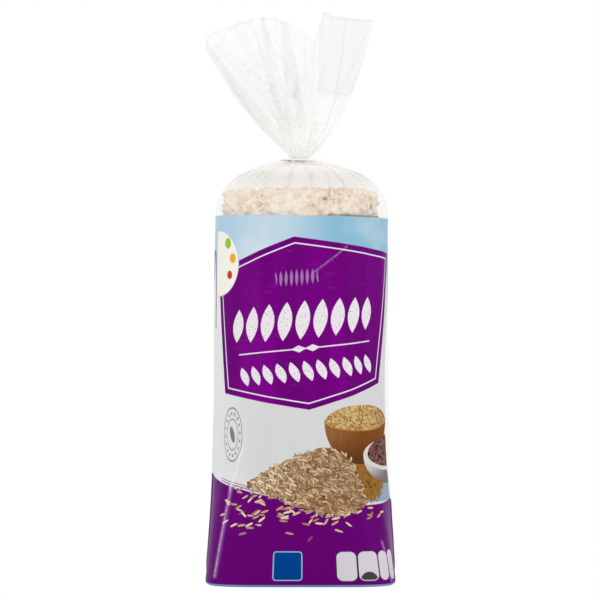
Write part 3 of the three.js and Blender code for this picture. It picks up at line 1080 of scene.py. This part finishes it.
def pleat_columns(row):
    """For one row: each column's place on its ring, and how far it stands out."""
    length = ring_lengths[row]
    up_tail = max(0, (row - TAIL_ROW + 1) / TAIL_STEPS)
    weight = blend(neck_weight, tail_weight, smooth_step(up_tail, *NECK_PLEATS_FADE))
    surplus = max(0.0, FULL_FILM - length) if row > WALL_STEPS - 1 else 0.0
    half = surplus * weight / weight.sum() / 4
    kept = tail_weight * TAIL_FOLD_HALF * smooth_step(up_tail, *TAIL_FOLD_START)
    half = np.maximum(half, kept * (tail_weight > LIGHTEST_FOLD))
    places, lifts = [], []
    go = np.linspace(0, 1, FLAT_STEPS, endpoint=False)
    turn = np.linspace(0, 1, FOLD_STEPS, endpoint=False)
    for k in range(PLEATS):
        # The left half's pleats lie one way and the right half's the other.
        lift = min(LIFT * half[k], GREATEST_LIFT) * (1 if pleat_places[k] < 0.5 else -1)
        fold_on, fold_back = pleat_places[k] + half[k] / length, pleat_places[k] - half[k] / length
        places += [blend(before[k], fold_on, go), blend(fold_on, fold_back, turn),
                   blend(fold_back, after[k], go)]
        lifts += [-lift * go ** 3, blend(-lift, lift, turn), lift * (1 - go) ** 3]
    return np.concatenate(places) % 1, np.concatenate(lifts)


def on_ring(values, places):
    """Values of a ring's table at any shares of the ring."""
    at = places * len(RING_SHARES)
    low = at.astype(int) % len(RING_SHARES)
    part = (at - np.floor(at))[:, None]
    return values[low] * (1 - part) + values[(low + 1) % len(RING_SHARES)] * part


# %% [markdown]
# Between its pleats, real film is never flat. Noise with sharp crests gives it crumples,
# and the folds that catch the most light are lines, each of which the front layer rises
# or sinks along. The same lines tint the film later, so that relief and tone agree.

# %% Crumples and folds
CRUMPLE_AT_DOME, CRUMPLE_AT_NECK, CRUMPLE_AT_TAIL = 0.6, 0.2, 1.2
CRUMPLE_SCALE = 0.06
# The pattern is stretched on the dome, in the open tail, and in lines near the neck.
DOME_STRETCH, TAIL_STRETCH, FAN_STRETCH = (1, 1, 2.2), (1, 1.3, 0.6), (90, 0.8, 0.12)
FAN_OPENS, MOUTH_CALMS = (0.3, 0.9), (0.86, 1.0)
# The film is smooth at its side folds, and where the front layer's edge drops.
CALM_AT, CALM_WIDTH = 0.545, 0.025


def ridges(point, scale):
    """Sharp-crested noise from 0 to 1, as stiff film crumples."""
    sizes = (1.0, 0.5, 0.25)
    crests = (1 - abs(noise.noise(Vector(point) * scale * 2 ** octave)) * 2 for octave in range(3))
    return sum(size * crest for size, crest in zip(sizes, crests)) / sum(sizes)


# Folds in the tail and on the dome: how far each stands out, and the (x, z) it passes.
FOLD_PATHS = [
    (-0.7, (-55, 327.5), (-39, 312.5), (-25, 297.5), (-14, 282), (-9, 274)),
    (0.6, (-53, 330), (-34.5, 316), (-20, 303.5)),
    (0.7, (-15, 345), (-14.6, 328), (-9, 310)),
    (0.5, (-21, 334.5), (-14, 318), (-8.5, 308.5)),
    (0.6, (-2.4, 322), (-1.7, 307), (-3.7, 299)),
    (0.9, (6.5, 314), (-4.4, 296.8)),
    (0.7, (-19, 303.5), (-12.6, 289), (-4.4, 275.5), (1, 263.5)),
    (0.5, (-30.5, 296), (-26, 289), (-14, 277)),
    (0.5, (-24, 282.5), (-18, 275.5), (-10, 269)),
    (0.5, (-57.5, 327), (-45.5, 312.5), (-41.5, 303), (-33, 289.3), (-23.5, 276.3), (-12.6, 262)),
    (0.8, (-5.8, 340.5), (-0.3, 331), (5.2, 321.4), (10.3, 317.3)),
    (0.8, (44, 343), (36.5, 325), (26.3, 303), (22, 294)),
    (0.5, (29.7, 345.3), (23, 335)),
    (0.6, (19.1, 347), (19.1, 328)),
    (-0.6, (22, 297), (20, 289.3), (12, 269.5), (9.2, 262.7)),
    (0.6, (-4, 253), (-4, 243)),
    (0.5, (-20, 242.5), (9, 242.5)),
    (0.5, (12.6, 255), (24.3, 248), (30.5, 242)),
    (0.8, (-48, 236), (-34, 241.5)),
    (0.5, (-40, 247), (-20, 251)),
]
FOLD_LINES = [(start, end, size) for size, *path in FOLD_PATHS for start, end in zip(path, path[1:])]
FOLD_LINE_WIDTH = 0.9
NECK_FOCUS = NECK_TOP - 16


def fold_lines(points):
    """Relief of the fold lines, in millimetres."""
    relief = np.zeros(len(points))
    for start, end, size in FOLD_LINES:
        distance, _ = segment_distance(points[:, 0], points[:, 2], start, end)
        relief += size * np.exp(-(distance / FOLD_LINE_WIDTH) ** 2)
    return relief


def crumple(points, row, places):
    """Relief of the crumples: soft on the dome, in fine lines that spread up the tail."""
    if row < 2:
        return np.zeros(len(points))
    if row < TAIL_ROW:
        size = CRUMPLE_AT_DOME * min(1, (row - 1) / 8)
        stretched = points * DOME_STRETCH
    else:
        up_tail = (row - TAIL_ROW + 1) / TAIL_STEPS
        size = blend(CRUMPLE_AT_NECK, CRUMPLE_AT_TAIL, min(1, up_tail * 2.5))
        size *= 1 - 0.8 * smooth_step(up_tail, *MOUTH_CALMS)
        fan = points[:, 0] / (points[:, 2] - NECK_FOCUS)
        lines = np.stack([fan, points[:, 1], points[:, 2]], axis=-1) * FAN_STRETCH
        stretched = blend(lines, points * TAIL_STRETCH, smooth_step(up_tail, *FAN_OPENS))
    relief = np.array([size * (ridges(point, CRUMPLE_SCALE) - 0.5) for point in stretched])
    in_front_layer = (places > 0.25) & (places < 0.75)
    calm = 1 - np.abs(np.sin(2 * np.pi * places)) ** 12
    calm *= 1 - 0.8 * np.exp(-((places - CALM_AT) / CALM_WIDTH) ** 2)
    return (relief + fold_lines(points) * in_front_layer) * calm


# %% Build the clear film
SHARP_FOLD = math.radians(80)
TUCK = 0.995

clear_rows = []
for row in range(len(ring_points)):
    places, lifts = pleat_columns(row)
    points = on_ring(ring_points[row], places)
    normals = on_ring(outward[row], places)
    clear_rows.append(points + normals * (lifts + crumple(points, row, places))[:, None])
clear_rows[0] = clear_rows[0] * (TUCK, TUCK, 1)
clear_columns = len(clear_rows[0])
clear_film = mesh_object("clear_film", np.concatenate(clear_rows) * MM,
                         grid_faces(len(clear_rows), clear_columns))
set_film_map(clear_film, clear_columns, list(range(len(clear_rows))))
clear_film.data.set_sharp_from_angle(angle=SHARP_FOLD)

# %% [markdown]
# Taut film is clearest, and crumpled film is milky, because its fine wrinkles scatter
# light. So nodes raise the haze smoothly up the film, and make it a little stronger at
# folds and at the cut edge. The tone is whitest where the film is bunched at the neck.
# Over the dome the colour is darker and warm: painted shade, with painted warm light
# bounced up from the cake. The dome and the tail take different tones, so each of them
# has its own material.

# %% Clear film's materials
FILM_WHITE, FILM_NECK, FILM_GREY = ink(255, 255, 255), ink(255, 255, 253), ink(250, 250, 250)
# The last two colours here are the dome's painted shade and its painted warm light bounced up from the cake.
FILM_SINGLE, FILM_DOME_SHADE, FILM_WARM_BOUNCE = ink(234, 234, 234), ink(240, 239, 236), ink(230, 226, 218)
# Haze at heights up the film.
HAZE = [(228, 0.20), (238, 0.23), (248, 0.37), (255, 0.32), (264, 0.27), (284, 0.35), (304, 0.41)]
EDGE_HAZE, EDGE_SHADE, FOLD_HAZE, FACET_HAZE = 0.14, 0.07, 0.10, 0.05
FACET_SHADE, FOLD_SHADE = 0.04, 0.08
# Stretches over which one look passes into the next: in mm, and up the rows of film.
NECK_TONE, FAN_TONE, DOME_TONE, DOME_END = (256, 268), (274, 302), (235, 240), (247, 252)
SINGLE_ALONG, SINGLE_UP = (6, 14), (294, 300)
FROM_NECK, CREASES_SHOW, CREASE_EDGE = (8, 34), (244, 250), (0.1, 0.7)
CUT_EDGE, SIDE_EDGE = (0.9915, 0.9925), (0.004, 0.014)
# The painted warm light on the dome is strongest over its middle, out to a reach to both sides.
WARM_ALONG, WARM_REACH = 6, 46


def through(value, pairs):
    """A field that passes smoothly through (value, result) pairs."""
    found = pairs[0][1]
    for (low, start), (high, end) in zip(pairs, pairs[1:]):
        found = value.ramp(low, high) * (end - start) + found
    return found


def film_material(name, in_tail):
    net = Net(name, Roughness=0.12, IOR=1.6)
    sx, sy, sz = net.split(net.object_place())
    net.bump(net.noise(net.join(sx, sy, sz * 0.45), 0.18, 4, 0.6), 1.2, 0.3)
    film_u, film_v = net.film_place()
    if in_tail:
        at_side = 1 - ((film_u - 0.5).abs() - 0.25).abs().ramp(*SIDE_EDGE)
        colour = net.lay(FILM_WHITE, (sz.ramp(*NECK_TONE), FILM_NECK), (sz.ramp(*FAN_TONE), FILM_GREY),
                         (sx.ramp(*SINGLE_ALONG) * sz.ramp(*SINGLE_UP), FILM_SINGLE), (at_side, FILM_WHITE))
        facet_place = net.join(sx / (sz - NECK_FOCUS) * 9, sz * 0.035, sy * 0.04)
    else:
        # Over the dome: painted shade, turning warm over the middle as painted light bounced up from the
        # cake.
        at_dome = sz.ramp(*DOME_TONE) * (1 - sz.ramp(*DOME_END))
        warm = 1 - ((sx - WARM_ALONG) / WARM_REACH).abs().ramp(0.5, 1.0)
        colour = net.lay(FILM_WHITE, (at_dome, net.mix(warm, FILM_DOME_SHADE, FILM_WARM_BOUNCE)))
        facet_place = net.join(sx * 0.09, sz * 0.14, sy * 0.05)
    tone, cloudy, _ = net.split(net.cells(facet_place, 1.0)["Color"])
    creased = Field(net, 0.0)
    for start, end, size in FOLD_LINES:
        if (start[1] > NECK_TOP) == in_tail:
            away = segment_field((sx, sz), start, end)
            creased = creased.most((1 - away.ramp(*CREASE_EDGE)) * abs(size))
    bunched = (sz - NECK_TOP).abs().ramp(*FROM_NECK)
    at_edge = film_v.ramp(*CUT_EDGE)
    shade = (1 - tone * bunched * FACET_SHADE) * (1 - creased * bunched * FOLD_SHADE)
    haze = through(sz, HAZE) + at_edge * EDGE_HAZE
    haze = haze + sz.ramp(*CREASES_SHOW) * (creased * FOLD_HAZE + (cloudy - 0.5) * FACET_HAZE)
    net.finish(Base_Color=net.shade(colour, shade * (1 - at_edge * EDGE_SHADE)), Alpha=haze)
    return net


tail_faces = np.repeat(np.arange(len(clear_rows) - 1) >= TAIL_ROW - 1, clear_columns)
paint(clear_film, film_material("clear_film_dome", False), film_material("clear_film_tail", True), tail_faces)
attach(clear_film, "root")
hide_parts("bag")
print("clear film:", len(clear_film.data.polygons), "faces")

# %% [markdown]
# ## Rice cakes
# A puffed cake is hundreds of popped grains pressed into a mould. The recipe scatters
# swollen grains over a plain disc, fuses everything into one volume, and skins it, so
# neighbours melt together with dents between them. One recipe with other numbers also
# makes the plainer cakes further down, which hardly show.

# %% A recipe for puffed cakes
class Recipe(Tree):
    """A Geometry Nodes group with named numbers in and geometry out."""

    def __init__(self, name, **numbers):
        super().__init__(bpy.data.node_groups.new(name, "GeometryNodeTree"))
        ports = self.tree.interface
        for label, value in numbers.items():
            kind = "NodeSocketInt" if isinstance(value, int) else "NodeSocketFloat"
            ports.new_socket(label, in_out="INPUT", socket_type=kind).default_value = value
        ports.new_socket("Geometry", in_out="OUTPUT", socket_type="NodeSocketGeometry")
        self.given = self.add("NodeGroupInput").outputs
        self.result = self.add("NodeGroupOutput")

    def vector(self, z):
        """A vector that points up, as long as z."""
        return self.add("ShaderNodeCombineXYZ", Z=z).outputs[0]

    def random_vector(self, low, high, seed):
        node = self.add("FunctionNodeRandomValue", {"data_type": "FLOAT_VECTOR"}, Seed=seed)
        node.inputs[0].default_value, node.inputs[1].default_value = low, high
        return node.outputs[0]

    def finish(self, geometry, material):
        solid = self.add("GeometryNodeRealizeInstances", Geometry=geometry)
        painted = self.add("GeometryNodeSetMaterial", Geometry=solid.outputs[0], Material=material)
        self.feed(self.result.inputs[0], painted.outputs[0])


def run_recipe(name, recipe, **numbers):
    """What a recipe makes with these numbers, kept as a plain mesh object."""
    carrier = mesh_object(name, [], [])
    modifier = carrier.modifiers.new("recipe", "NODES")
    modifier.node_group = recipe.tree
    for port in recipe.tree.interface.items_tree:
        if port.in_out == "INPUT" and port.name in numbers:
            modifier[port.identifier] = numbers[port.name]
    graph = bpy.context.evaluated_depsgraph_get()
    made = bpy.data.meshes.new_from_object(carrier.evaluated_get(graph), depsgraph=graph)
    carrier.modifiers.clear()
    carrier.data = made
    made.polygons.foreach_set("use_smooth", [True] * len(made.polygons))
    return carrier


# %% The cake's material
CREAM, CREAM_WARM, HOLLOW_TAN = ink(244, 233, 217), ink(240, 223, 198), ink(226, 194, 146)
GOLDEN, GOLDEN_PALE = ink(198, 142, 74), ink(232, 190, 122)
# The second of these browns paints shadow: in the gap at the right of the cake's foot, and in two pits.
TOAST, PAINTED_SHADOW_BROWN = ink(158, 98, 46), ink(104, 60, 34)
SEAM_SIZE, SPECK_SIZE = 4.0, 3.0
# Browner patches at the front, and two pits painted dark as shade: middle (x, z), half width and half height.
PATCHES = [((-27, 232), (9, 6)), ((20, 234.5), (15, 5.5)), ((40, 232), (6, 5))]
SHADED_PITS = [((14.6, 232), (1.7, 1.3)), ((42.7, 228), (0.8, 2.0))]

cake = Net("puffed_grain", Roughness=0.75)
spot = cake.object_place()
sx, sy, sz = cake.split(spot)
facing_front = (0 - sy).ramp(0, 5)


def cake_spots(spots):
    found = Field(cake, 0.0)
    for (x, z), (half_x, half_z) in spots:
        away = (((sx - x) / half_x) ** 2 + ((sz - z) / half_z) ** 2).sqrt()
        found = found.most(1 - away.ramp(0.6, 1.2))
    return found * facing_front


hollow = 1 - Field(cake, cake.add("ShaderNodeNewGeometry").outputs["Pointiness"]).ramp(0.34, 0.47)
browned = (cake.noise(spot, 0.075, 4, 0.65).ramp(0.50, 0.60) * 0.7).most(cake_spots(PATCHES))
toasted = cake.noise(spot, 0.32, 3, 0.6).ramp(0.48, 0.62) * cake_spots(PATCHES)
wander = (cake.noise(spot, 0.5, 4, 0.65) - 0.5) * 7
wandering = cake.join(sx + wander, sy - wander, sz + wander)
seams = cake.cells(wandering, 1 / SEAM_SIZE, {"feature": "DISTANCE_TO_EDGE"})
seam = 1 - Field(cake, seams["Distance"]).ramp(0.01, 0.10)
specks = cake.cells(wandering, 1 / SPECK_SIZE)
rare, _, _ = cake.split(specks["Color"])
speck = (1 - Field(cake, specks["Distance"]).ramp(0.12, 0.30)) * (browned + 0.2) * rare.ramp(0.62, 0.66)
# Painted shadow along the cake's foot at the right, in the gap between the cake and the film's top edge.
painted_gap_shadow = (1 - sz.ramp(PRINT_TOP + 0.3, PRINT_TOP + 1.5)) * sx.ramp(4, 26) * facing_front
cake.finish(Base_Color=cake.lay(
    CREAM,
    (cake.noise(spot, 0.12, 3).ramp(0.42, 0.68), CREAM_WARM),
    (hollow * 0.65, HOLLOW_TAN),
    (toasted * 0.45, GOLDEN_PALE),
    (seam * browned * 0.65, GOLDEN),
    (speck.least(1) * 0.85, TOAST),
    (painted_gap_shadow.most(cake_spots(SHADED_PITS)) * 0.85, PAINTED_SHADOW_BROWN)))
cake.bump(cake.noise(spot, 0.9, 3, 0.6), 0.4, 0.5)

# %% Puff the cakes
GRAIN_SIZE = np.array((3.4, 2.9, 2.6))
LEAST_SWELL, MOST_SWELL = 0.55, 1.5
GRAINS_PER_SQUARE_METRE = 160000.0
SKIN_THRESHOLD = 0.12

puff = Recipe("puffed_cakes", Radius=45.3 * MM, Thickness=15.2 * MM, Spacing=3.6 * MM,
              Voxel=0.65 * MM, Seed=4, Count=1, Lowest=0.0, Pitch=CAKE_THICKNESS * MM, Turn=0.0)
given = puff.given
disc = puff.add("GeometryNodeMeshCylinder", Vertices=96, Side_Segments=6, Fill_Segments=12,
                Radius=given["Radius"], Depth=given["Thickness"]).outputs["Mesh"]
scattered = puff.add("GeometryNodeDistributePointsOnFaces", {"distribute_method": "POISSON"},
                     Mesh=disc, Distance_Min=given["Spacing"], Density_Max=GRAINS_PER_SQUARE_METRE,
                     Seed=given["Seed"])
grain = puff.add("GeometryNodeMeshIcoSphere", Radius=MM, Subdivisions=2)
spin = puff.random_vector((-3.1,) * 3, (3.1,) * 3, given["Seed"])
swell = puff.random_vector(GRAIN_SIZE * LEAST_SWELL, GRAIN_SIZE * MOST_SWELL, given["Seed"])
grains = puff.add("GeometryNodeInstanceOnPoints", Points=scattered.outputs["Points"],
                  Instance=grain.outputs["Mesh"], Rotation=spin, Scale=swell)
loose = puff.add("GeometryNodeRealizeInstances", Geometry=grains.outputs[0])
both = puff.add("GeometryNodeJoinGeometry")
for part in (disc, loose.outputs[0]):
    puff.feed(both.inputs[0], part)
fused = puff.add("GeometryNodeMeshToVolume", {"resolution_mode": "VOXEL_SIZE"},
                 Mesh=both.outputs[0], Voxel_Size=given["Voxel"], Interior_Band_Width=3 * MM)
skin = puff.add("GeometryNodeVolumeToMesh", {"resolution_mode": "VOXEL_SIZE"},
                Volume=fused.outputs[0], Voxel_Size=given["Voxel"], Threshold=SKIN_THRESHOLD)
column = puff.add("GeometryNodeMeshLine", Count=given["Count"],
                  Start_Location=puff.vector(given["Lowest"]), Offset=puff.vector(given["Pitch"]))
turned = puff.add("ShaderNodeMath", {"operation": "MULTIPLY"})
for socket, source in zip(turned.inputs, (puff.add("GeometryNodeInputIndex").outputs[0], given["Turn"])):
    puff.feed(socket, source)
stack = puff.add("GeometryNodeInstanceOnPoints", Points=column.outputs[0],
                 Instance=skin.outputs[0], Rotation=puff.vector(turned.outputs[0]))
puff.finish(stack.outputs[0], cake.material)

top_cake = run_recipe("top_rice_cake", puff, Lowest=(STACK_HEIGHT - CAKE_THICKNESS / 2 - 2.2) * MM)
lower_cakes = run_recipe("rice_cakes_below", puff, Radius=42.0 * MM, Thickness=8.4 * MM, Voxel=2.6 * MM,
                         Spacing=7.0 * MM, Count=CAKE_COUNT - 1, Lowest=CAKE_THICKNESS / 2 * MM,
                         Pitch=CAKE_THICKNESS * 0.98 * MM, Turn=1.1)
for cakes in (top_cake, lower_cakes):
    corners = np.array([corner[:] for corner in cakes.bound_box]) / MM
    print(cakes.name, len(cakes.data.polygons), "faces, from", corners.min(0).round(1),
          "to", corners.max(0).round(1))
    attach(cakes, "root")
    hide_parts("bag")

# %% [markdown]
# ## Clip
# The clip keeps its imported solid, and gets a satin moulded plastic.

# %% The clip's plastic
clip_net = Net("ivory_plastic", Base_Color=ink(248, 247, 243), Roughness=0.38)
clip_net.bump(clip_net.noise(clip_net.object_place(), 0.8), 0.05, 0.5)
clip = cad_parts["neck_clip"]
clip.data.materials.clear()
clip.data.materials.append(clip_net.material)
